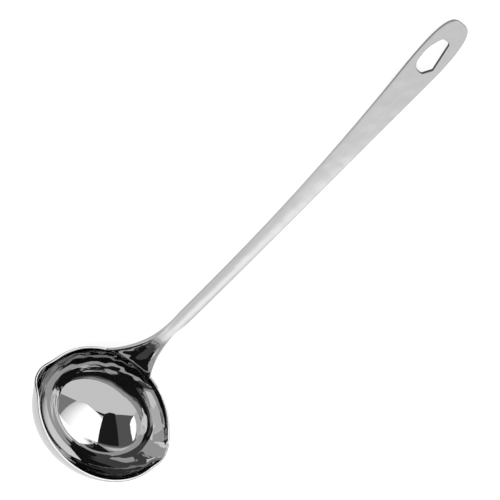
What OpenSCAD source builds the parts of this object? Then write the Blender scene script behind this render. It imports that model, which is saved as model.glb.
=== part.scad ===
// Sauce ladle, pressed from one sheet of stainless steel, with a pouring lip on each side.
// Bowl, rim, neck and handle are one wall, so they are one solid.
// It is built with its rim level and its handle towards +X, and then laid down as it rests on
// a table, on the back of the bowl and the end of the handle.

/* [Bowl] */
// Width of the bowl from side to side, without its lips
bowl_width = 84; // [70:1:100]
// Length of the bowl from front to neck
bowl_length = 71; // [60:0.5:90]
// Depth of the bowl from the rim to the outside of its bottom
bowl_depth = 34.5; // [26:0.5:42]
// Fullness of the bowl's profile, where 2 is a plain ellipse
bowl_fullness = 2; // [1.8:0.05:2.8]
// Thickness of the drawn wall of the bowl
bowl_wall = 1.3; // [0.8:0.1:2]

/* [Pouring lips] */
// Reach of each lip past the side of the bowl
lip_reach = 2.8; // [0:0.1:6]
// Drop of each lip's edge under the level of the rim
lip_drop = 2.8; // [0:0.1:6]
// Half width of a lip, in degrees round the bowl
lip_spread = 14.5; // [8:0.5:20]
// Crispness of a lip, where 2 is a plain bell curve
lip_crispness = 2.7; // [1.6:0.1:3]
// Height of the wall over which a lip fades into the bowl
lip_height = 16.5; // [12:0.5:24]

/* [Neck] */
// Width of the neck where it leaves the rim
neck_root_width = 31; // [20:0.5:36]
// Length of the neck from the rim to its slimmest place
neck_length = 51; // [30:1:60]
// How fast the neck flares towards the rim, where 1 is straight sides
neck_flare = 2.4; // [1:0.1:3]
// Lean of the neck at the rim, in degrees from the plane of the rim
neck_lean = 74; // [64:1:88]
// Length of the neck's straight part, from the rim
neck_straight_length = 11; // [0:1:20]
// Distance from the rim at which the neck has bent over to the lean of the handle
neck_bend_end = 47; // [30:1:60]
// Extra rise of the neck's sides over its middle, where they stand up most
neck_side_rise = 0.9; // [0:0.1:2]
// How late, across the neck, its sides turn up, where 2 is a plain curve
neck_side_curl = 4; // [2:0.5:6]

/* [Handle] */
// Length of the neck and the handle along their back
handle_length = 269.5; // [200:0.5:320]
// Lean of the handle just above the neck, in degrees from the plane of the rim
handle_lean = 55.5; // [50:0.5:70]
// Lean of the handle at its end
handle_end_lean = 44; // [38:1:56]
// Width of the handle at its slimmest place
handle_slim_width = 6.8; // [6:0.1:12]
// Width that the handle grows to at its end
handle_wide_width = 16.6; // [16:0.1:24]
// How late along its length the handle widens, where 1 is evenly
handle_growth = 2.1; // [1:0.1:3]
// Thickness of the handle
handle_thickness = 2.5; // [1.5:0.1:3]
// Rise of the handle's crowned front, over its slim part
handle_crown = 0.8; // [0:0.1:1.4]
// Distance from the rim at which the front has reached its full crown
handle_crown_start = 20; // [10:1:50]
// Length of the handle's rounded end
handle_end_length = 34; // [20:1:40]
// Bluntness of the rounded end, where 2 is a plain half ellipse
handle_end_bluntness = 3.3; // [2:0.1:5]
// Rounding of every cut edge
edge_round = 0.35; // [0:0.05:0.6]

/* [Hanging hole] */
// Length of the hole along the handle
hole_length = 21; // [18:0.5:26]
// Width of the hole at its broad end
hole_width = 10.2; // [9:0.1:11]
// Width of the hole at its narrow end
hole_tip_width = 4.8; // [4:0.1:6]
// Distance from the narrow end to the hole's one sharp corner, on its right side
hole_corner_place = 16.2; // [13:0.1:17]
// Shift of the hole to the left of the handle's middle
hole_shift = 0.4; // [0:0.1:1]
// Steel left between the hole and the end of the handle
hole_margin = 11.5; // [8:0.5:20]

/* [Hidden] */

// Half sizes of the bowl
half_length = bowl_length / 2;
half_width = bowl_width / 2;

// Grid of the wall: columns across the neck and round the free rim, rings up the bowl, rows
// along the neck, the shank and the rounded end, and steps round the cut edge and each corner
// of the hole
neck_columns = 16;
rim_columns = 84;
columns = neck_columns + rim_columns;
rings = 16;
neck_rows = 12;
shank_rows = 26;
end_rows = 14;
cap_steps = 3;
arc_steps = 8;
// How closely the rows crowd towards the rim, where 1 is evenly
root_crowding = 1.4;

// Angle round the bowl at which the side of the neck meets the rim
neck_angle = asin((neck_root_width / 2 - edge_round) / half_width);
column_angles = concat(
    [for (k = [0 : neck_columns]) neck_angle * (2 * k / neck_columns - 1)],
    [for (k = [1 : rim_columns - 1]) neck_angle + (360 - 2 * neck_angle) * k / rim_columns]);

// Distance of each row of the handle from the rim, along its back
end_start = handle_length - handle_end_length;
shank_length = end_start - neck_length;
row_places = concat(
    [for (i = [0 : neck_rows]) neck_length * pow(i / neck_rows, root_crowding)],
    [for (i = [1 : shank_rows]) neck_length + shank_length * i / shank_rows],
    [for (i = [1 : end_rows]) end_start + handle_end_length * sin(90 * i / end_rows)]);
rows = len(row_places) - 1;

function ease(t) = let (c = min(max(t, 0), 1)) c * c * (3 - 2 * c);
function unit(v) = v / norm(v);

// Bell curve that raises the two lips, at the bowl's sides
function lip(angle) =
    let (off_side = abs(90 - abs(angle > 180 ? angle - 360 : angle)))
    exp(-pow(off_side / lip_spread, lip_crispness));

// Outside of the bowl, at an angle round it and at a climb of 0 at the bottom to 90 at the rim
function bowl_point(angle, climb) =
    let (
        spread = pow(sin(climb), 2 / bowl_fullness),
        level = -bowl_depth * pow(cos(climb), 2 / bowl_fullness),
        lift = lip(angle) * pow(max(1 + level / lip_height, 0), 2),
        swell = spread + lift * lip_reach / half_width
    )
    [half_length * cos(angle) * swell, half_width * sin(angle) * swell, level - lip_drop * lift];

// Lean of the handle's back at a place along it. The neck rises straight from the rim, and then
// bends over to the handle.
function lean(s) =
    handle_lean + (handle_end_lean - handle_lean) * s / handle_length
    + (neck_lean - handle_lean)
        * (1 - ease((s - neck_straight_length) / (neck_bend_end - neck_straight_length)));

// Middle line of the handle's back, as one point in the XZ plane for each row
spine = [for (i = 0, p = [half_length, 0]; i <= rows;
    step = i < rows ? row_places[i + 1] - row_places[i] : 0,
    turn = lean(row_places[i] + step / 2),
    p = p + step * [cos(turn), sin(turn)], i = i + 1) p];

// Half width of the handle: a flared neck, a slow widening and a rounded end
function end_rounding(s) =
    pow(max(1 - pow(max(s - end_start, 0) / handle_end_length, 2), 0), 1 / handle_end_bluntness);
function half_handle(s) =
    end_rounding(s) * ((handle_slim_width
        + (neck_root_width - handle_slim_width) * pow(max(1 - s / neck_length, 0), neck_flare)
        + (handle_wide_width - handle_slim_width)
            * pow(max(s - neck_length, 0) / shank_length, handle_growth)) / 2
        - edge_round);

// Rise of the sides of the neck over its middle. They are dished like the rim at the root. Over
// the crease's length that becomes a flat middle with its sides turned up, whose extra rise is
// the most at a third of the neck.
crease_length = 6;
root_dish = half_length * (1 - cos(neck_angle));
extra_rise_peak = pow(2, 2) / pow(3, 3);
function side_rise(s) =
    let (t = min(s / neck_length, 1))
    root_dish * (1 - ease(t)) + neck_side_rise * t * pow(1 - t, 2) / extra_rise_peak;

// Crown of the handle, which fades towards its flat end
function crown(s) =
    handle_crown * ease(s / handle_crown_start) * (1 - ease((s - neck_length) / shank_length));

function handle_point(row, column) =
    let (
        s = row_places[row],
        across = sin(column_angles[column]) / sin(neck_angle),
        off_middle = abs(across) * end_rounding(s),
        curled = ease(s / crease_length),
        rise = side_rise(s) * ((1 - curled) * pow(off_middle, 2)
            + curled * pow(off_middle, neck_side_curl)) - crown(s) * pow(off_middle, 2),
        turn = lean(s)
    )
    [spine[row][0] - rise * sin(turn), across * half_handle(s), spine[row][1] + rise * cos(turn)];

// Back of the whole wall: the bottom of the bowl, its rings, the rows of the handle and its tip
bowl_back = [for (i = [1 : rings], a = column_angles) bowl_point(a, 90 * i / rings)];
handle_back = [for (r = [1 : rows - 1], k = [0 : neck_columns]) handle_point(r, k)];
tip = [spine[rows][0], 0, spine[rows][1]];
back = concat([[0, 0, -bowl_depth]], bowl_back, handle_back, [tip]);

// Number of the point of the back at a ring and a column, or at a row of the handle, whose row
// 0 is the rim
function bowl_id(ring, column) =
    ring == 0 ? 0 : 1 + (ring - 1) * columns + (column + columns) % columns;
function handle_id(row, column) =
    row == 0 ? bowl_id(rings, column)
    : row == rows ? len(back) - 1
    : 1 + rings * columns + (row - 1) * (neck_columns + 1) + column;

// Direction from the back of the wall to its front, square to both
function facing(below, above, left, right) =
    unit(cross(back[above] - back[below], back[right] - back[left]));
function above_rim(column) =
    column <= neck_columns ? handle_id(1, column) : bowl_id(rings, column);
bowl_facings = [for (i = [1 : rings], k = [0 : columns - 1])
    facing(bowl_id(i - 1, k), i < rings ? bowl_id(i + 1, k) : above_rim(k),
        bowl_id(i, k - 1), bowl_id(i, k + 1))];
handle_facings = [for (r = [1 : rows - 1], k = [0 : neck_columns])
    facing(handle_id(r - 1, k), handle_id(r + 1, k),
        handle_id(r, max(k - 1, 0)), handle_id(r, min(k + 1, neck_columns)))];
tip_facing = [-sin(handle_end_lean), 0, cos(handle_end_lean)];
facings = concat([[0, 0, 1]], bowl_facings, handle_facings, [tip_facing]);

// Thickness of the wall, which is drawn thinner in the bowl than in the handle
function wall(s) = bowl_wall + (handle_thickness - bowl_wall) * ease(s / neck_length);
walls = concat([for (i = [0 : rings * columns]) bowl_wall],
    [for (r = [1 : rows - 1], k = [0 : neck_columns]) wall(row_places[r])],
    [handle_thickness]);
front = [for (i = [0 : len(back) - 1]) back[i] + walls[i] * facings[i]];

// The cut edge, point by point: round the free rim, up one side of the handle and down the
// other
edge = concat(
    [for (k = [neck_columns + 1 : columns - 1]) bowl_id(rings, k)],
    [for (r = [0 : rows]) handle_id(r, 0)],
    [for (r = [rows - 1 : -1 : 0]) handle_id(r, neck_columns)]);
function edge_spot(place) = edge[(place + len(edge)) % len(edge)];

// Points that round the edge from the back of the wall to its front
edge_round_points = [for (p = [0 : len(edge) - 1], j = [1 : cap_steps - 1])
    let (
        e = edge[p],
        along = back[edge_spot(p + 1)] - back[edge_spot(p - 1)],
        outward = unit(cross(along, facings[e])),
        turn = 180 * j / cap_steps
    )
    back[e] + (front[e] - back[e]) * (1 - cos(turn)) / 2 + outward * edge_round * sin(turn)];
function edge_id(place, step) =
    step == 0 ? edge_spot(place)
    : step == cap_steps ? len(back) + edge_spot(place)
    : 2 * len(back) + (place % len(edge)) * (cap_steps - 1) + step - 1;

// Two triangles between four points, or one where two of them are the same point
function patch(a, b, c, d) = concat(a == b ? [] : [[a, b, c]], c == d ? [] : [[a, c, d]]);
function shifted(faces, by) = [for (f = faces) [f[2] + by, f[1] + by, f[0] + by]];
back_faces = [
    for (i = [1 : rings], k = [0 : columns - 1])
        each patch(bowl_id(i - 1, k + 1), bowl_id(i - 1, k), bowl_id(i, k), bowl_id(i, k + 1)),
    for (r = [1 : rows], k = [0 : neck_columns - 1])
        each patch(handle_id(r - 1, k + 1), handle_id(r - 1, k),
            handle_id(r, k), handle_id(r, k + 1))];
edge_faces = [for (p = [0 : len(edge) - 1], j = [0 : cap_steps - 1])
    each patch(edge_id(p + 1, j), edge_id(p, j), edge_id(p, j + 1), edge_id(p + 1, j + 1))];

module pressed_wall() {
    polyhedron(
        points = concat(back, front, edge_round_points),
        faces = concat(back_faces, shifted(back_faces, len(back)), edge_faces),
        convexity = 6);
}

// Arc that rounds the corner b between its neighbours a and c
function rounded(a, b, c, radius) =
    let (
        to_a = unit(a - b),
        to_c = unit(c - b),
        half = acos(to_a * to_c) / 2,
        centre = b + unit(to_a + to_c) * radius / sin(half),
        first = b + to_a * radius / tan(half) - centre,
        last = b + to_c * radius / tan(half) - centre,
        turn = atan2(cross(first, last), first * last)
    )
    [for (i = [0 : arc_steps])
        let (t = turn * i / arc_steps)
        centre + [first[0] * cos(t) - first[1] * sin(t), first[0] * sin(t) + first[1] * cos(t)]];

// The hanging hole's right side runs straight to a corner, where a short slanting side starts.
// Its left side bows out and turns in one round sweep into the broad end.
hole_left = hole_shift + hole_width / 2;
hole_right = hole_shift - hole_width / 2;
hole_slant = 3.2;
hole_bow = 0.5;
hole_bow_place = 0.42 * hole_length;
end_corner_round = 1.2;
side_corner_round = 0.5;
narrow_end_round = 1.8;
broad_end_round = 0.8 * (hole_left - hole_bow - hole_right - hole_slant);
bow_round = 1.6 * hole_width;

// Its corners: place along it from its narrow end, place across it to the left, and rounding
hole_corners = [
    [0, hole_shift - hole_tip_width / 2, narrow_end_round],
    [hole_corner_place, hole_right, side_corner_round],
    [hole_length, hole_right + hole_slant, end_corner_round],
    [hole_length, hole_left - hole_bow, broad_end_round],
    [hole_bow_place, hole_left + hole_bow, bow_round],
    [0, hole_shift + hole_tip_width / 2, narrow_end_round]];
hole_outline = [for (i = [0 : len(hole_corners) - 1])
    let (
        corner = hole_corners[i],
        before = hole_corners[(i + len(hole_corners) - 1) % len(hole_corners)],
        after = hole_corners[(i + 1) % len(hole_corners)]
    )
    each rounded([before[0], before[1]], [corner[0], corner[1]], [after[0], after[1]], corner[2])];

// It is punched square to the handle at its middle
hole_middle = handle_length - hole_margin - hole_length / 2;
punch_length = 6 * handle_thickness;
function spine_at(s, axis) = lookup(s, [for (i = [0 : rows]) [row_places[i], spine[i][axis]]]);
module hanging_hole() {
    translate([spine_at(hole_middle, 0), 0, spine_at(hole_middle, 1)])
        rotate([0, -lean(hole_middle), 0])
            linear_extrude(punch_length, center = true)
                polygon([for (p = hole_outline) [hole_length / 2 - p[0], p[1]]]);
}

// The pose in which the ladle comes to rest: a line under the bowl and the handle becomes level
under_bowl = [for (i = [1 : rings]) back[bowl_id(i, neck_columns / 2)]];
under_end = [for (r = [rows - end_rows : rows]) [spine[r][0], 0, spine[r][1]]];
rest_turn = min([for (e = under_end)
    max([for (b = under_bowl) atan2(e[2] - b[2], e[0] - b[0])])]);
function laid(p) =
    [p[0] * cos(rest_turn) + p[2] * sin(rest_turn), -p[0] * sin(rest_turn) + p[2] * cos(rest_turn)];
laid_points = [for (p = concat(back, front, edge_round_points)) laid(p)];
rest_x = [for (p = laid_points) p[0]];
rest_z = [for (p = laid_points) p[1]];

module ladle() {
    color("silver")
        translate([-(min(rest_x) + max(rest_x)) / 2, 0, -min(rest_z)])
            rotate([0, rest_turn, 0])
                difference() {
                    pressed_wall();
                    hanging_hole();
                }
}

ladle();
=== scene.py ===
from math import asin, atan2, cos, degrees, exp, pi, radians, sin, sqrt

import bpy
from mathutils import Matrix, Vector
from mathutils.kdtree import KDTree


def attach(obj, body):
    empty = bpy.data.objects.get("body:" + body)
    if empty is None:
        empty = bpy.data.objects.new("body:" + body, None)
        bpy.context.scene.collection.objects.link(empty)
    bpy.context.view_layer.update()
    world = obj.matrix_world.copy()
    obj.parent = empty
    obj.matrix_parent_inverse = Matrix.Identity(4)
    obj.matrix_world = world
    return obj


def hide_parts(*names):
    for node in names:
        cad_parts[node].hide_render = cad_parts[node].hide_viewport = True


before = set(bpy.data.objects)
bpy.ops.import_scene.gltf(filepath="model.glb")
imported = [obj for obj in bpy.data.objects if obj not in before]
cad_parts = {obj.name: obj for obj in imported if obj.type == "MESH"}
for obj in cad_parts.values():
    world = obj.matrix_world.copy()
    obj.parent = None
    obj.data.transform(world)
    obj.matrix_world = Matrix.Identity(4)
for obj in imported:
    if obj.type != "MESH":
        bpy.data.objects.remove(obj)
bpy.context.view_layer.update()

bpy.ops.object.select_all(action="DESELECT")


# A long lens looks down on the ladle from beside the end of its handle. The picture is turned,
# so that the handle runs from the lower left to the upper right.
CAMERA_PLACE = Vector((0.48829, 0.43980, 0.97424))
CAMERA_RIGHT = Vector((0.6452, -0.7638, 0.0192)).normalized()
CAMERA_UP = Vector((0.6363, 0.5232, -0.5669))
CAMERA_LENS = 158.66
CAMERA_SENSOR = 36

bpy.ops.object.camera_add(location=CAMERA_PLACE)
camera = bpy.context.object
camera.name = "camera"
camera.data.sensor_width = CAMERA_SENSOR
camera.data.lens = CAMERA_LENS
camera_back = CAMERA_RIGHT.cross(CAMERA_UP).normalized()
camera_up = camera_back.cross(CAMERA_RIGHT)
camera.matrix_world = Matrix.Translation(CAMERA_PLACE) @ Matrix(
    (CAMERA_RIGHT, camera_up, camera_back)).transposed().to_4x4()
bpy.context.scene.camera = camera


# The deep oval bowl, drawn from the same sheet as the handle. A pouring lip is pressed out of
# each side. It is modelled with its rim level and its neck towards +X, as its back surface.
BOWL_HALF_LENGTH = 0.0355
BOWL_HALF_WIDTH = 0.042
BOWL_DEPTH = 0.0345
LIP_REACH = 0.0028
LIP_DROP = 0.0028
LIP_SPREAD = 14.5
LIP_CRISPNESS = 2.7
LIP_HEIGHT = 0.0165
NECK_ROOT_WIDTH = 0.031
EDGE_ROUND = 0.00035
SAME_PLACE = 0.00001
BOWL_SEGMENTS = 240
NECK_SEGMENTS = 32

NECK_ANGLE = degrees(asin((NECK_ROOT_WIDTH / 2 - EDGE_ROUND) / BOWL_HALF_WIDTH))


def bowl_point(angle, height):
    """Place on the back of the bowl, at an angle in degrees and at a height from -1 to 0."""
    off_side = abs(90 - abs(angle))
    level = BOWL_DEPTH * height
    lift = exp(-(off_side / LIP_SPREAD) ** LIP_CRISPNESS) * max(1 + level / LIP_HEIGHT, 0) ** 2
    swell = sqrt(max(1 - height ** 2, 0)) + lift * LIP_REACH / BOWL_HALF_WIDTH
    return Vector((BOWL_HALF_LENGTH * cos(radians(angle)) * swell,
                   BOWL_HALF_WIDTH * sin(radians(angle)) * swell,
                   level - LIP_DROP * lift))


bpy.ops.mesh.primitive_uv_sphere_add(segments=BOWL_SEGMENTS, ring_count=BOWL_SEGMENTS // 2)
ladle = bpy.context.object
ladle.name = "ladle_steel"
bpy.ops.object.mode_set(mode="EDIT")
bpy.ops.mesh.select_all(action="SELECT")
bpy.ops.mesh.bisect(plane_co=(0, 0, 0), plane_no=(0, 0, 1), clear_outer=True)
bpy.ops.object.mode_set(mode="OBJECT")

# The columns of the sphere are spaced so that two of them meet the sides of the neck
even_neck_angle = 360 / BOWL_SEGMENTS * NECK_SEGMENTS / 2
for vertex in ladle.data.vertices:
    angle = degrees(atan2(vertex.co.y, vertex.co.x))
    if abs(angle) <= even_neck_angle + 0.01:
        angle *= NECK_ANGLE / even_neck_angle
    else:
        rest = (180 - abs(angle)) * (180 - NECK_ANGLE) / (180 - even_neck_angle)
        angle = (180 - rest) * (1 if angle > 0 else -1)
    vertex.co = bowl_point(angle, min(vertex.co.z, 0))


# The same sheet goes on from the rim as a flared neck and a long slim handle, which widens to a
# flat rounded end. It is a strip of mesh bent to its line, and merged with the rim.
NECK_LENGTH = 0.051
NECK_FLARE = 2.4
NECK_LEAN = 74
NECK_STRAIGHT_LENGTH = 0.011
NECK_BEND_END = 0.047
NECK_SIDE_RISE = 0.0009
NECK_SIDE_CURL = 4
CREASE_LENGTH = 0.006
HANDLE_LENGTH = 0.2695
HANDLE_LEAN = 55.5
HANDLE_END_LEAN = 44
HANDLE_SLIM_WIDTH = 0.0068
HANDLE_WIDE_WIDTH = 0.0166
HANDLE_GROWTH = 2.1
HANDLE_CROWN = 0.0008
HANDLE_CROWN_START = 0.020
HANDLE_END_LENGTH = 0.034
HANDLE_END_BLUNTNESS = 3.3
HANDLE_ROWS = {"neck": 40, "shank": 56, "end": 34}
NECK_ROW_SPREAD = 1.4

end_start = HANDLE_LENGTH - HANDLE_END_LENGTH
shank_length = end_start - NECK_LENGTH
root_dish = BOWL_HALF_LENGTH * (1 - cos(radians(NECK_ANGLE)))
neck_rows, shank_rows, end_rows = HANDLE_ROWS.values()
row_places = (
    [NECK_LENGTH * (row / neck_rows) ** NECK_ROW_SPREAD for row in range(neck_rows + 1)]
    + [NECK_LENGTH + shank_length * row / shank_rows for row in range(1, shank_rows + 1)]
    + [end_start + HANDLE_END_LENGTH * sin(pi / 2 * row / end_rows)
       for row in range(1, end_rows + 1)])


def ease(t):
    """Smooth rise from 0 to 1 as t goes from 0 to 1."""
    t = min(max(t, 0), 1)
    return t * t * (3 - 2 * t)


def lean(s):
    """Lean of the back of the handle at a place along it, in radians from the rim's plane."""
    bent = ease((s - NECK_STRAIGHT_LENGTH) / (NECK_BEND_END - NECK_STRAIGHT_LENGTH))
    return radians(HANDLE_LEAN + (HANDLE_END_LEAN - HANDLE_LEAN) * s / HANDLE_LENGTH
                   + (NECK_LEAN - HANDLE_LEAN) * (1 - bent))


def handle_point(row, across):
    """Place on the back of the handle, at a row and from -1 to 1 across."""
    s = row_places[row]
    rounding = max(1 - (max(s - end_start, 0) / HANDLE_END_LENGTH) ** 2, 0) ** (
        1 / HANDLE_END_BLUNTNESS)
    width = (HANDLE_SLIM_WIDTH
             + (NECK_ROOT_WIDTH - HANDLE_SLIM_WIDTH) * max(1 - s / NECK_LENGTH, 0) ** NECK_FLARE
             + (HANDLE_WIDE_WIDTH - HANDLE_SLIM_WIDTH)
             * (max(s - NECK_LENGTH, 0) / shank_length) ** HANDLE_GROWTH)
    half_width = rounding * (width / 2 - EDGE_ROUND)
    # Above the rim the dished sheet becomes flat with its sides turned up, and then crowned
    t = min(s / NECK_LENGTH, 1)
    side_rise = root_dish * (1 - ease(t)) + NECK_SIDE_RISE * t * (1 - t) ** 2 * 27 / 4
    crown = HANDLE_CROWN * ease(s / HANDLE_CROWN_START) * (
        1 - ease((s - NECK_LENGTH) / shank_length))
    curled = ease(s / CREASE_LENGTH)
    off_middle = abs(across) * rounding
    rise = (side_rise * ((1 - curled) * off_middle ** 2 + curled * off_middle ** NECK_SIDE_CURL)
            - crown * off_middle ** 2)
    turn = lean(s)
    return Vector((spine[row].x - rise * sin(turn), across * half_width,
                   spine[row].z + rise * cos(turn)))


spine = [Vector((BOWL_HALF_LENGTH, 0, 0))]
for below, above in zip(row_places, row_places[1:]):
    turn = lean((below + above) / 2)
    spine.append(spine[-1] + (above - below) * Vector((cos(turn), 0, sin(turn))))

last_row = len(row_places) - 1
bpy.ops.mesh.primitive_grid_add(x_subdivisions=NECK_SEGMENTS, y_subdivisions=last_row, size=2)
strip = bpy.context.object
for vertex in strip.data.vertices:
    row = round((vertex.co.y + 1) / 2 * last_row)
    angle = NECK_ANGLE * vertex.co.x
    if row == 0:
        vertex.co = bowl_point(angle, 0)
    else:
        vertex.co = handle_point(row, sin(radians(angle)) / sin(radians(NECK_ANGLE)))
ladle.select_set(True)
bpy.context.view_layer.objects.active = ladle
bpy.ops.object.join()
bpy.ops.object.mode_set(mode="EDIT")
bpy.ops.mesh.select_all(action="SELECT")
bpy.ops.mesh.remove_doubles(threshold=SAME_PLACE)
bpy.ops.object.mode_set(mode="OBJECT")


# The sheet has been thinned in the bowl by drawing, and keeps its full thickness in the handle.
# Its cut edge is ground to a small round.
BOWL_WALL = 0.0013
HANDLE_THICKNESS = 0.0025
EDGE_CUTS = 5


def place_along(co):
    """About how far along the handle a point of its back is, from the rim."""
    if co.z <= SAME_PLACE:
        return 0
    row = min(range(len(spine)), key=lambda i: (spine[i].x - co.x) ** 2 + (spine[i].z - co.z) ** 2)
    return row_places[row]


wall = ladle.vertex_groups.new(name="wall")
bowl_share = BOWL_WALL / HANDLE_THICKNESS
for vertex in ladle.data.vertices:
    grown = ease(place_along(vertex.co) / NECK_LENGTH)
    wall.add([vertex.index], bowl_share + (1 - bowl_share) * grown, "REPLACE")
solidify = ladle.modifiers.new("wall", "SOLIDIFY")
solidify.thickness = HANDLE_THICKNESS
solidify.offset = -1
solidify.vertex_group = "wall"
solidify.use_even_offset = True
solidify.use_quality_normals = True
solidify.material_offset_rim = 1
for name in ("face", "rim"):
    ladle.data.materials.append(bpy.data.materials.new(name))
bpy.ops.object.modifier_apply(modifier="wall")

# Edges of the cut face either border a side of the sheet, or run across its thickness
sides = {}
outward = {}
for face in ladle.data.polygons:
    for key in face.edge_keys:
        sides.setdefault(key, []).append(face.material_index)
    for index in face.vertices if face.material_index == 1 else ():
        outward[index] = outward.get(index, Vector()) + face.normal

# Points of the round that takes the place of each straight edge across the thickness
straight_points = []
round_points = []
for edge in ladle.data.edges:
    edge.select = sides[edge.key] == [1, 1]
    if edge.select:
        back_end, front_end = (ladle.data.vertices[index].co for index in sorted(edge.vertices))
        out = sum((outward[index] for index in edge.vertices), Vector()).normalized()
        for cut in range(1, EDGE_CUTS + 1):
            turn = pi * cut / (EDGE_CUTS + 1)
            straight_points.append(back_end.lerp(front_end, cut / (EDGE_CUTS + 1)))
            round_points.append(back_end.lerp(front_end, (1 - cos(turn)) / 2)
                                + out * EDGE_ROUND * sin(turn))
uncut_count = len(ladle.data.vertices)
for face in ladle.data.polygons:
    face.select = False
for vertex in ladle.data.vertices:
    vertex.select = False
bpy.ops.object.mode_set(mode="EDIT")
bpy.ops.mesh.select_mode(type="EDGE")
bpy.ops.mesh.subdivide(number_cuts=EDGE_CUTS)
bpy.ops.object.mode_set(mode="OBJECT")
nearest = KDTree(len(straight_points))
for index, point in enumerate(straight_points):
    nearest.insert(point, index)
nearest.balance()
for vertex in ladle.data.vertices[uncut_count:]:
    vertex.co = round_points[nearest.find(vertex.co)[1]]
for edge in ladle.data.edges:
    edge.use_edge_sharp = sorted(sides.get(edge.key, ())) == [0, 1]
edge_marks = ladle.data.attributes.new("cut_edge", "FLOAT", "FACE")
for face in ladle.data.polygons:
    edge_marks.data[face.index].value = face.material_index


# A long hole with one sharp corner, punched through the flat end of the handle. Its edges are
# broken on both sides. The punch is a prism with flared ends.
HOLE_LENGTH = 0.021
HOLE_WIDTH = 0.0102
HOLE_TIP_WIDTH = 0.0048
HOLE_SHARP_CORNER = 0.0162
HOLE_FULL_CORNER = 0.42 * HOLE_LENGTH
HOLE_SHIFT = 0.0004
HOLE_MARGIN = 0.0115
HOLE_BREAK = 0.0002
HOLE_CORNER_SEGMENTS = 8
PUNCH_FLARE = 0.0012
SHARP_ANGLE = 40

left, right = HOLE_SHIFT + HOLE_WIDTH / 2, HOLE_SHIFT - HOLE_WIDTH / 2
# Corners: place along the hole from its narrow end, place across it, and length of the round
HOLE_CORNERS = [
    (0, HOLE_SHIFT - HOLE_TIP_WIDTH / 2, 0.00155), (HOLE_SHARP_CORNER, right, 0.0004),
    (HOLE_LENGTH, right + 0.0032, 0.00064), (HOLE_LENGTH, left - 0.0005, 0.0048),
    (HOLE_FULL_CORNER, left + 0.0005, 0.0036), (0, HOLE_SHIFT + HOLE_TIP_WIDTH / 2, 0.00125)]

bpy.ops.mesh.primitive_circle_add(vertices=len(HOLE_CORNERS), fill_type="NGON")
punch = bpy.context.object
corner_places = [Vector((HOLE_LENGTH / 2 - corner[0], corner[1], 0)) for corner in HOLE_CORNERS]
for vertex, corner_place in zip(punch.data.vertices, corner_places):
    vertex.co = corner_place
bpy.ops.object.mode_set(mode="EDIT")
bpy.ops.mesh.select_mode(type="VERT")
for corner, corner_place in zip(HOLE_CORNERS, corner_places):
    bpy.ops.mesh.select_all(action="DESELECT")
    bpy.ops.object.mode_set(mode="OBJECT")
    min(punch.data.vertices, key=lambda vertex: (vertex.co - corner_place).length).select = True
    bpy.ops.object.mode_set(mode="EDIT")
    bpy.ops.mesh.bevel(offset=corner[2], segments=HOLE_CORNER_SEGMENTS, affect="VERTICES")
bpy.ops.mesh.select_all(action="SELECT")
flare = (1 + 2 * PUNCH_FLARE / HOLE_LENGTH, 1 + 2 * PUNCH_FLARE / HOLE_WIDTH, 1)
back_to_straight = tuple(1 / factor for factor in flare)
bpy.ops.transform.resize(value=flare, center_override=(0, HOLE_SHIFT, 0))
bpy.ops.transform.translate(value=(0, 0, HOLE_BREAK - PUNCH_FLARE))
for height, scale in ((PUNCH_FLARE, back_to_straight),
                      (HANDLE_THICKNESS - 2 * HOLE_BREAK, (1, 1, 1)), (PUNCH_FLARE, flare)):
    bpy.ops.mesh.extrude_region_move(TRANSFORM_OT_translate={"value": (0, 0, height)})
    bpy.ops.transform.resize(value=scale, center_override=(0, HOLE_SHIFT, 0))
bpy.ops.mesh.select_all(action="SELECT")
bpy.ops.mesh.normals_make_consistent(inside=False)
bpy.ops.object.mode_set(mode="OBJECT")
punch.data.materials.append(bpy.data.materials.new("punched"))

hole_middle = HANDLE_LENGTH - HOLE_MARGIN - HOLE_LENGTH / 2
row = min(range(last_row), key=lambda i: abs(row_places[i] - hole_middle))
hole_lean = lean(hole_middle)
punch.location = spine[row] + (hole_middle - row_places[row]) * Vector(
    (cos(hole_lean), 0, sin(hole_lean)))
punch.rotation_euler = (0, -hole_lean, 0)
bpy.ops.object.select_all(action="DESELECT")
bpy.context.view_layer.objects.active = ladle
ladle.select_set(True)
punching = ladle.modifiers.new("hole", "BOOLEAN")
punching.operation = "DIFFERENCE"
punching.solver = "EXACT"
punching.object = punch
punching.material_mode = "TRANSFER"
bpy.ops.object.modifier_apply(modifier="hole")
bpy.data.objects.remove(punch)
punch_marks = ladle.data.attributes.new("punched", "FLOAT", "FACE")
for face in ladle.data.polygons:
    punch_marks.data[face.index].value = float(face.material_index == 2)
    face.material_index = 0
bpy.ops.object.shade_smooth()
bpy.ops.object.mode_set(mode="EDIT")
bpy.ops.mesh.select_mode(type="EDGE")
bpy.ops.mesh.select_all(action="DESELECT")
bpy.ops.mesh.edges_select_sharp(sharpness=radians(SHARP_ANGLE))
bpy.ops.mesh.mark_sharp()
bpy.ops.mesh.select_all(action="DESELECT")
bpy.ops.object.mode_set(mode="OBJECT")


# The ladle rests on a table on the back of its bowl and the end of its handle. Its place is the
# middle of its length and width, at the level of the table.
REST_TURN = 53.1387

ladle.rotation_euler = (0, radians(REST_TURN), 0)
bpy.ops.object.transform_apply(location=False, rotation=True, scale=False)
lowest, highest = (Vector(limit(vertex.co[axis] for vertex in ladle.data.vertices)
                          for axis in range(3)) for limit in (min, max))
ladle_place = Vector((-(lowest.x + highest.x) / 2, 0, -lowest.z))
ladle.location = ladle_place
bpy.ops.object.transform_apply(location=True, rotation=False, scale=False)

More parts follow.
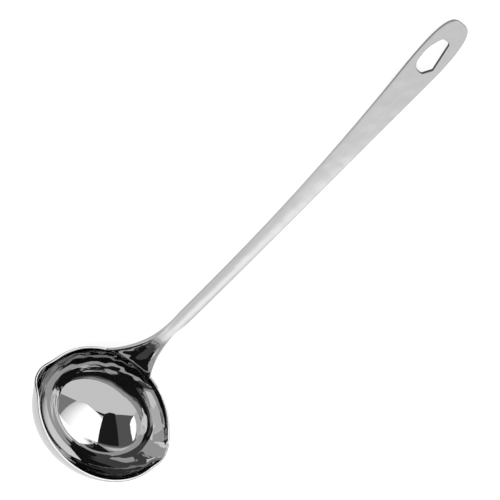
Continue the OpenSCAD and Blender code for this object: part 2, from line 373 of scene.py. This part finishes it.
# Stainless steel. The bowl, its rim and the neck are mirror polished, and the handle is brushed
# to a satin. The polish ends in a curved line across the neck, and the cut edge is only ground.
POLISH_END = 0.0253
POLISH_MIDDLE = 0.0006
POLISH_SAG = 0.000018
POLISH_SAG_GROWTH = 3.2
POLISH_SAG_MOST = 0.006
POLISH_BLUR = 0.0005
# Each finish, and what the wiping marks add to the polish and the grain to the satin
ROUGHNESS = {"polish": 0.02, "wiping": 0.03, "satin": 0.24, "grain": 0.16, "ground": 0.16,
             "punched": 0.5}
# The punched walls of the hole are rough sheared steel, and their low brightness is painted shade
# inside the hole
BRIGHTNESS = {"polish": 0.52, "wiping": 0.02, "satin": 0.45, "grain": 0.16, "punched": 0.19}
GRAIN_HEIGHT = 0.000007
BROAD_GRAIN_SHARE = 0.45

steel = bpy.data.materials.new("steel")
ladle.data.materials.clear()
ladle.data.materials.append(steel)
steel.use_nodes = True
nodes, links = steel.node_tree.nodes, steel.node_tree.links
surface = nodes["Principled BSDF"]
surface.inputs["Metallic"].default_value = 1


def feed(socket, value):
    """Give a socket a number, or link it to another socket."""
    if isinstance(value, (int, float)):
        socket.default_value = value
    else:
        links.new(value, socket)


def maths(operation, *values):
    """A Math node of the material in hand, whose inputs are sockets or numbers."""
    node = nodes.new("ShaderNodeMath")
    node.operation = operation
    for socket, value in zip(node.inputs, values):
        feed(socket, value)
    return node.outputs[0]


def blend(share, first, second):
    """A Mix node of the material in hand between two sockets or numbers."""
    node = nodes.new("ShaderNodeMix")
    for name, value in (("Factor", share), ("A", first), ("B", second)):
        feed(node.inputs[name], value)
    return node.outputs["Result"]


def passed(value, start, end, low=0, high=1, smooth=True):
    """A number that goes from low to high as a value passes from start to end."""
    node = nodes.new("ShaderNodeMapRange")
    node.interpolation_type = "SMOOTHSTEP" if smooth else "LINEAR"
    for name, number in (("Value", value), ("From Min", start), ("From Max", end),
                         ("To Min", low), ("To Max", high)):
        feed(node.inputs[name], number)
    return node.outputs["Result"]


def streaks(name, scale, detail):
    """Fine noise drawn out along the handle, with a scale in each direction per metre."""
    mapping = nodes.new("ShaderNodeMapping")
    mapping.inputs["Scale"].default_value = scale
    links.new(steel_place.outputs["Object"], mapping.inputs["Vector"])
    noise = nodes.new("ShaderNodeTexNoise")
    noise.label = name
    noise.inputs["Scale"].default_value = 1
    noise.inputs["Detail"].default_value = detail
    links.new(mapping.outputs["Vector"], noise.inputs["Vector"])
    return noise.outputs["Fac"]


def along(way):
    """How far a point of the steel lies from the middle of the rim, in a direction."""
    node = nodes.new("ShaderNodeVectorMath")
    node.operation = "DOT_PRODUCT"
    node.inputs[1].default_value = way
    links.new(from_rim.outputs["Vector"], node.inputs[0])
    return node.outputs["Value"]


def marked(name):
    """Share of a mark on the faces, such as that of the cut edge."""
    node = nodes.new("ShaderNodeAttribute")
    node.attribute_name = name
    return node.outputs["Fac"]


# Places on the steel, from the middle of the rim
steel_place = nodes.new("ShaderNodeTexCoord")
from_rim = nodes.new("ShaderNodeVectorMath")
from_rim.operation = "SUBTRACT"
from_rim.inputs[1].default_value = ladle_place
links.new(steel_place.outputs["Object"], from_rim.inputs[0])
over_rim = along((sin(radians(REST_TURN)), 0, cos(radians(REST_TURN))))
to_neck = along((cos(radians(REST_TURN)), 0, -sin(radians(REST_TURN))))
to_left = along((0, 1, 0))

# The end of the polish sags towards the sides of the neck, by a power of the millimetres
off_middle = maths("ABSOLUTE", maths("MULTIPLY", maths("SUBTRACT", to_left, POLISH_MIDDLE), 1000))
sag = maths("MINIMUM", maths("MULTIPLY", maths("POWER", off_middle, POLISH_SAG_GROWTH), POLISH_SAG),
            POLISH_SAG_MOST)
past_polish = maths("ADD", maths("SUBTRACT", over_rim, POLISH_END), sag)
satin = passed(past_polish, -POLISH_BLUR, POLISH_BLUR)
cut_edge = marked("cut_edge")
punched = marked("punched")

# Brushing runs along the handle, and the polish keeps a trace of finer wiping marks
broad_grain = streaks("broad grain", (25, 1100, 1100), 2)
fine_grain = streaks("fine grain", (90, 5200, 5200), 3)
wiping = streaks("wiping marks", (260, 900, 260), 4)
grain = maths("ADD", maths("MULTIPLY", broad_grain, BROAD_GRAIN_SHARE),
              maths("MULTIPLY", fine_grain, 1 - BROAD_GRAIN_SHARE))


def over_sheet(values):
    """Roughness or brightness over the polished and the satin part of the sheet."""
    return blend(satin, maths("ADD", maths("MULTIPLY", wiping, values["wiping"]), values["polish"]),
                 maths("ADD", maths("MULTIPLY", grain, values["grain"]), values["satin"]))


roughness = blend(cut_edge, over_sheet(ROUGHNESS), ROUGHNESS["ground"])
feed(surface.inputs["Roughness"], blend(punched, roughness, ROUGHNESS["punched"]))
# The punched walls take a low brightness, which is painted shade in the hole
brightness = blend(punched, over_sheet(BRIGHTNESS), BRIGHTNESS["punched"])
tint = nodes.new("ShaderNodeCombineColor")
for channel in tint.inputs:
    links.new(brightness, channel)
links.new(tint.outputs["Color"], surface.inputs["Base Color"])

# The drawn wall is a little wavy. Beside the right lip it is calmer and leans out towards the
# rim. The last stroke of the press, set a little aslant, leaves a faint step round the dish,
# which is higher on the right side.
WAVE_SCALE = (110, 110, 110)
WAVE_HEIGHT = 0.00046
CALM_WAVE_HEIGHT = 0.00006
LEANING_DEPTH = 0.0031
STEP_HEIGHT = 0.0002
RIGHT_STEP_HEIGHT = 0.0005
STROKE = (0.57, 0.19, 0.80)
# Where each of them comes in, as distances from the middle of the rim
RIGHT_SIDE = (-0.014, -0.023)
TOWARDS_NECK = (0.005, 0.014)
WAVY_WALL = (-0.024, -0.012)
LEANING_WALL = (-0.012, -0.004)
STEP = (-0.0268, -0.0236)
RIGHT_STEP = (-0.0248, -0.0212)
RIGHT_STEP_END = (-0.012, -0.006)

right_side = passed(to_left, *RIGHT_SIDE)
beside_lip = maths("MULTIPLY", right_side, passed(to_neck, *TOWARDS_NECK))
wavy = maths("MULTIPLY", streaks("pressing waves", WAVE_SCALE, 1), passed(over_rim, *WAVY_WALL))
waves = maths("MULTIPLY", wavy, blend(beside_lip, WAVE_HEIGHT, CALM_WAVE_HEIGHT))
leaning = maths("MULTIPLY", beside_lip,
                passed(over_rim, *LEANING_WALL, high=-LEANING_DEPTH, smooth=False))
step = passed(along(STROKE), *STEP, high=STEP_HEIGHT)
right_part = maths("MULTIPLY", right_side, passed(to_neck, *RIGHT_STEP_END))
right_step = maths("MULTIPLY", right_part,
                   passed(along(STROKE), *RIGHT_STEP, high=RIGHT_STEP_HEIGHT))
height = maths("MULTIPLY", maths("MULTIPLY", grain, satin), GRAIN_HEIGHT)
for form in (waves, leaning, step, right_step):
    height = maths("ADD", height, form)
relief = nodes.new("ShaderNodeBump")
relief.inputs["Distance"].default_value = 1
links.new(height, relief.inputs["Height"])
links.new(relief.outputs["Normal"], surface.inputs["Normal"])

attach(ladle, "root")
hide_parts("ladle")


# The table is a white sheet. It glows a little to the camera and in mirrored rays, so that it comes
# out white round the shadow of the ladle.
# In mirrored rays the glow also changes round the bowl: a painted reflection for the steel, with a
# painted shadow at the handle's end.
TABLE_SIZE = 14
SHEET_GREY = 0.47
SHEET_ROUGHNESS = 0.9
BOWL_MIDDLE = Vector((-0.127, 0, 0.035))
HANDLE_END_PLACE = (0.15, 0, 0)
GLOW_TO_CAMERA = 0.76
# Painted reflection: the table's glow in mirrored rays round the bowl, from its front over its
# right side, the handle and its left
# side: share of the turn and strength. It is no less than a low glow near the bowl, and it is
# darkened round the end of the handle, which is a painted shadow of the end where it rests on the
# table.
GLOW_ROUND_BOWL = [(0.0, 0.6), (0.35, 0.6), (0.385, 1.4), (0.48, 1.4), (0.51, 0.05), (0.68, 0.05),
                   (0.72, 0.4), (0.80, 0.6)]
LOW_GLOW = 0.45
LOW_GLOW_EDGE = (0.30, 0.15)
END_SHADOW_SHARE = 0.2
END_SHADOW_EDGE = (0.03, 0.05)

bpy.ops.mesh.primitive_plane_add(size=TABLE_SIZE, location=(0, 0, 0))
table = bpy.context.object
table.name = "table"
sheet = bpy.data.materials.new("white_sheet")
table.data.materials.append(sheet)
sheet.use_nodes = True
nodes, links = sheet.node_tree.nodes, sheet.node_tree.links
sheet_surface = nodes["Principled BSDF"]
sheet_surface.inputs["Base Color"].default_value = (SHEET_GREY, SHEET_GREY, SHEET_GREY, 1)
sheet_surface.inputs["Roughness"].default_value = SHEET_ROUGHNESS
sheet_surface.inputs["Emission Color"].default_value = (1, 1, 1, 1)
table_place = nodes.new("ShaderNodeTexCoord")
from_bowl = nodes.new("ShaderNodeMapping")
from_bowl.inputs["Location"].default_value = (-BOWL_MIDDLE.x, 0, 0)
links.new(table_place.outputs["Object"], from_bowl.inputs["Vector"])
bowl_distance = nodes.new("ShaderNodeVectorMath")
bowl_distance.operation = "LENGTH"
links.new(from_bowl.outputs["Vector"], bowl_distance.inputs[0])
end_distance = nodes.new("ShaderNodeVectorMath")
end_distance.operation = "DISTANCE"
end_distance.inputs[1].default_value = HANDLE_END_PLACE
links.new(table_place.outputs["Object"], end_distance.inputs[0])
turn_round = nodes.new("ShaderNodeTexGradient")
turn_round.gradient_type = "RADIAL"
links.new(from_bowl.outputs["Vector"], turn_round.inputs["Vector"])
round_glow = nodes.new("ShaderNodeValToRGB")
stops = round_glow.color_ramp.elements
while len(stops) < len(GLOW_ROUND_BOWL):
    stops.new(0.5)
for stop, (turn, glow) in zip(stops, GLOW_ROUND_BOWL):
    stop.position = turn
    stop.color = (glow, glow, glow, 1)
links.new(turn_round.outputs["Fac"], round_glow.inputs["Fac"])

seen_by = nodes.new("ShaderNodeLightPath")
to_camera = maths("MULTIPLY", seen_by.outputs["Is Camera Ray"], GLOW_TO_CAMERA)
in_mirrors = maths("MAXIMUM", seen_by.outputs["Is Glossy Ray"],
                   seen_by.outputs["Is Transmission Ray"])
low_glow = passed(bowl_distance.outputs["Value"], *LOW_GLOW_EDGE, high=LOW_GLOW, smooth=False)
# Painted shadow round the end of the handle and painted reflection round the bowl, seen only in
# mirrored rays
painted_end_shadow = passed(end_distance.outputs["Value"], *END_SHADOW_EDGE, low=END_SHADOW_SHARE, smooth=False)
painted_reflection = maths("MULTIPLY", painted_end_shadow, maths("MAXIMUM", round_glow.outputs["Color"], low_glow))
feed(sheet_surface.inputs["Emission Strength"],
     maths("MAXIMUM", to_camera, maths("MULTIPLY", painted_reflection, in_mirrors)))


# Studio round the table. The ceiling is white, and soft boxes and dark cards stand where the
# polished bowl mirrors them. The camera doesn't see them.
CEILING_STRENGTH = 1.0

world = bpy.data.worlds.new("room")
bpy.context.scene.world = world
world.use_nodes = True
ceiling = world.node_tree.nodes["Background"]
ceiling.inputs["Color"].default_value = (1, 1, 1, 1)
ceiling.inputs["Strength"].default_value = CEILING_STRENGTH


def direction(azimuth, elevation):
    """Direction from the bowl at an azimuth from +X and an elevation, in degrees."""
    return Vector((cos(radians(elevation)) * cos(radians(azimuth)),
                   cos(radians(elevation)) * sin(radians(azimuth)), sin(radians(elevation))))


def glowing(piece, name, strength):
    """Make a piece of the studio glow evenly, unseen by the camera."""
    piece.name = name
    paper = bpy.data.materials.new(name)
    piece.data.materials.append(paper)
    paper.use_nodes = True
    shine = paper.node_tree.nodes.new("ShaderNodeEmission")
    shine.inputs["Strength"].default_value = strength
    paper.node_tree.links.new(shine.outputs["Emission"],
                              paper.node_tree.nodes["Material Output"].inputs["Surface"])
    piece.visible_camera = False
    return shine


def card(name, facing, distance, corners, strength):
    """A flat upright card, whose corners are azimuths and elevations seen from the bowl."""
    bpy.ops.mesh.primitive_circle_add(vertices=len(corners), fill_type="NGON")
    piece = bpy.context.object
    square_on = direction(facing, 0)
    for vertex, corner in zip(piece.data.vertices, corners):
        ray = direction(*corner)
        vertex.co = BOWL_MIDDLE + ray * (distance / ray.dot(square_on))
    return glowing(piece, name, strength)


SOFT_BOX_STRENGTH = 2.0
SOFT_BOX_RIGHT_STRENGTH = 1.05
SOFT_BOX_DIMMING = (-1.9, -0.9)

soft_box = card("soft_box", -8, 2.45, [(30, -1), (30, 44), (9, 45), (2, 48.5), (-28, 49),
                                       (-36, 44), (-41, 38), (-41, -1)], SOFT_BOX_STRENGTH)
# The large soft box is dimmer towards its right end
nodes, links = soft_box.id_data.nodes, soft_box.id_data.links
box_place = nodes.new("ShaderNodeTexCoord")
box_sides = nodes.new("ShaderNodeSeparateXYZ")
links.new(box_place.outputs["Object"], box_sides.inputs["Vector"])
feed(soft_box.inputs["Strength"],
     passed(box_sides.outputs["Y"], *SOFT_BOX_DIMMING, low=SOFT_BOX_RIGHT_STRENGTH,
            high=SOFT_BOX_STRENGTH, smooth=False))

card("black_card", 26, 2.2, [(12, -1), (12, 53), (25, 59.5), (41, 59.5), (41, -1)], 0.02)
card("black_strip", 2, 2.4, [(13, 49), (13, 53.5), (-8, 50.5), (2, 48.8)], 0.02)
card("grey_panel", 68, 2.3, [(41, -1), (41, 58), (60, 57.5), (85, 51), (93, 48.5), (84, 36),
                             (77, 20), (74, 5), (74, -1)], 0.15)
card("white_window", 78, 2.25, [(63, 5), (65, 20), (70, 39), (78, 45), (93, 48.5), (85, 37),
                                (77, 22), (70, 8)], 1.9)
card("grey_wall", 102, 2.35, [(70, -1), (70, 40), (93, 48.5), (135, 44), (135, -1)], 0.75)
card("grey_triangle", -52, 2.3, [(-43, -1), (-44, 38), (-67, 15), (-50, 2), (-49, -1)], 0.33)
card("second_soft_box", -130, 2.4, [(-107, 29), (-107, 59), (-154, 60), (-154, 29)], 1.8)

# A dark glowing sheet lies on the table behind the handle's left side. Only mirrored rays see it,
# so it is a painted dark reflection of the table in the steel, and it doesn't shade the table. Its
# corners are azimuths and distances from the bowl.
DARK_REFLECTION_CORNERS = [(6, 0.3), (62, 0.3), (6, 4), (62, 4)]
DARK_REFLECTION_HEIGHT = 0.002
DARK_REFLECTION_STRENGTH = 0.22

bpy.ops.mesh.primitive_plane_add()
dark_reflection_sheet = bpy.context.object
for vertex, (azimuth, distance) in zip(dark_reflection_sheet.data.vertices, DARK_REFLECTION_CORNERS):
    vertex.co = Vector((BOWL_MIDDLE.x, 0, DARK_REFLECTION_HEIGHT)) + distance * direction(azimuth, 0)
glowing(dark_reflection_sheet, "painted_dark_reflection", DARK_REFLECTION_STRENGTH)
dark_reflection_sheet.visible_diffuse = False
dark_reflection_sheet.visible_shadow = False

bpy.context.scene.view_settings.view_transform = "Standard"
